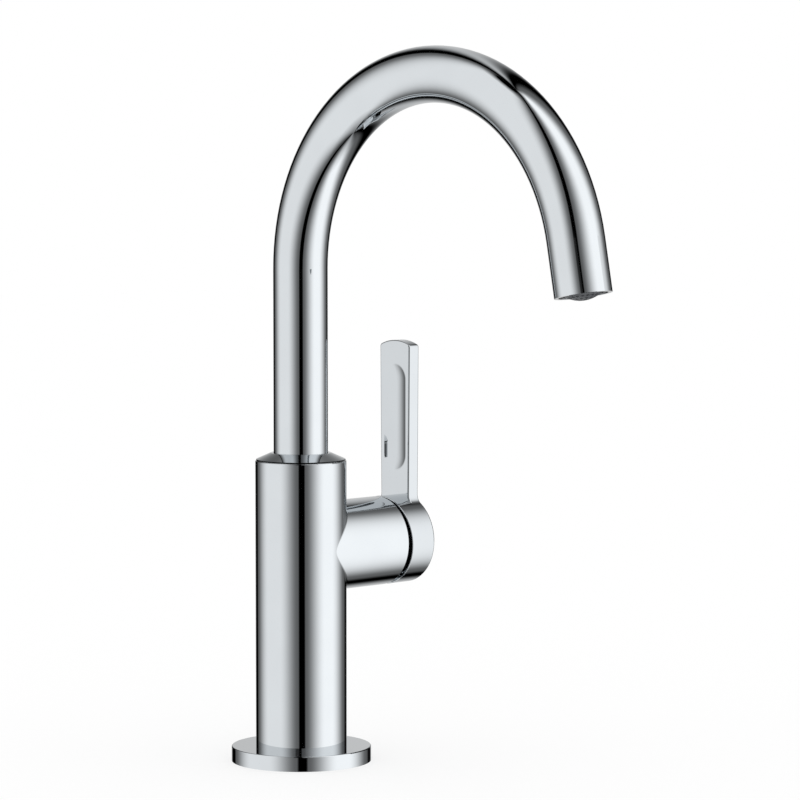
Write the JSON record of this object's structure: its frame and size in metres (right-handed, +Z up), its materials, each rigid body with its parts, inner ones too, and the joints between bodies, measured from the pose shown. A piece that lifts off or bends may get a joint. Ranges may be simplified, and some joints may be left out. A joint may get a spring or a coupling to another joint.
{
  "type": "gooseneck bar faucet",
  "caption": "Single-hole bar faucet in polished chrome: round column on a base plate, swivelling gooseneck spout with aerator, side hub with a scooped blade lever.",
  "frame": {"origin": "centre of the base on the deck plane, on the column axis", "axes": "+Z up along the column, spout towards -Y, side hub and lever along +X (right hand of a user who faces the faucet)"},
  "size_m": [0.0822, 0.1867, 0.3366],
  "materials": {
    "polished_chrome": "mirror-polished chrome plate on brass",
    "brass": "machined brass",
    "rubber": "moulded black rubber",
    "black_plastic": "moulded black glass-filled plastic",
    "grey_screen": "dark grey moulded screen",
    "white_acetal": "natural acetal",
    "ceramic": "lapped alumina ceramic",
    "steel": "stainless steel"
  },
  "bodies": {
    "faucet": {"base_plate": "polished_chrome", "base_gasket": "rubber", "faucet_body": "polished_chrome", "inlet_block": "brass", "spout_collar": "polished_chrome", "upper_glide_ring": "white_acetal", "lower_glide_ring": "white_acetal", "cartridge_base": "white_acetal", "port_seals": "rubber", "cartridge_housing": "white_acetal", "fixed_disc": "ceramic", "cartridge_nut": "black_plastic", "mounting_shank": "brass", "rubber_washer": "rubber", "metal_washer": "steel", "mounting_nut": "brass", "locking_screws": "steel"},
    "spout": {"spout_tube": "polished_chrome", "spout_foot": "brass", "spout_o_rings": "rubber", "outlet_bush": "brass", "aerator_housing": "black_plastic", "aerator_screen": "grey_screen", "flow_regulator": "black_plastic", "aerator_gasket": "rubber"},
    "cartridge_turn": {"spindle_guide": "black_plastic", "pivot_pin": "steel"},
    "lever": {"handle": "polished_chrome", "handle_set_screw": "steel", "screw_plug": "grey_screen", "spindle": "steel"},
    "disc_slide": {"disc_carrier": "white_acetal", "moving_disc": "ceramic"}
  },
  "joints": [
    {"name": "spout_swivel", "type": "hinge", "parent": "faucet", "child": "spout", "pos_m": [0, 0, 0.1166], "axis": [0, 0, 1], "continuous": true},
    {"name": "temperature_turn", "type": "hinge", "parent": "faucet", "child": "cartridge_turn", "pos_m": [0.0295, 0, 0.0823], "axis": [1, 0, 0], "range_deg": [-45, 45]},
    {"name": "flow_tilt", "type": "hinge", "parent": "cartridge_turn", "child": "lever", "pos_m": [0.0295, 0, 0.0823], "axis": [0, 1, 0], "range_deg": [0, 22]},
    {"name": "disc_travel", "type": "slide", "parent": "cartridge_turn", "child": "disc_slide", "axis": [0, 0, 1], "range_m": [0, 0.0031]}
  ],
  "couplings": [
    {"joint": "disc_travel", "follows": "flow_tilt", "m_per_rad": 0.0078}
  ]
}
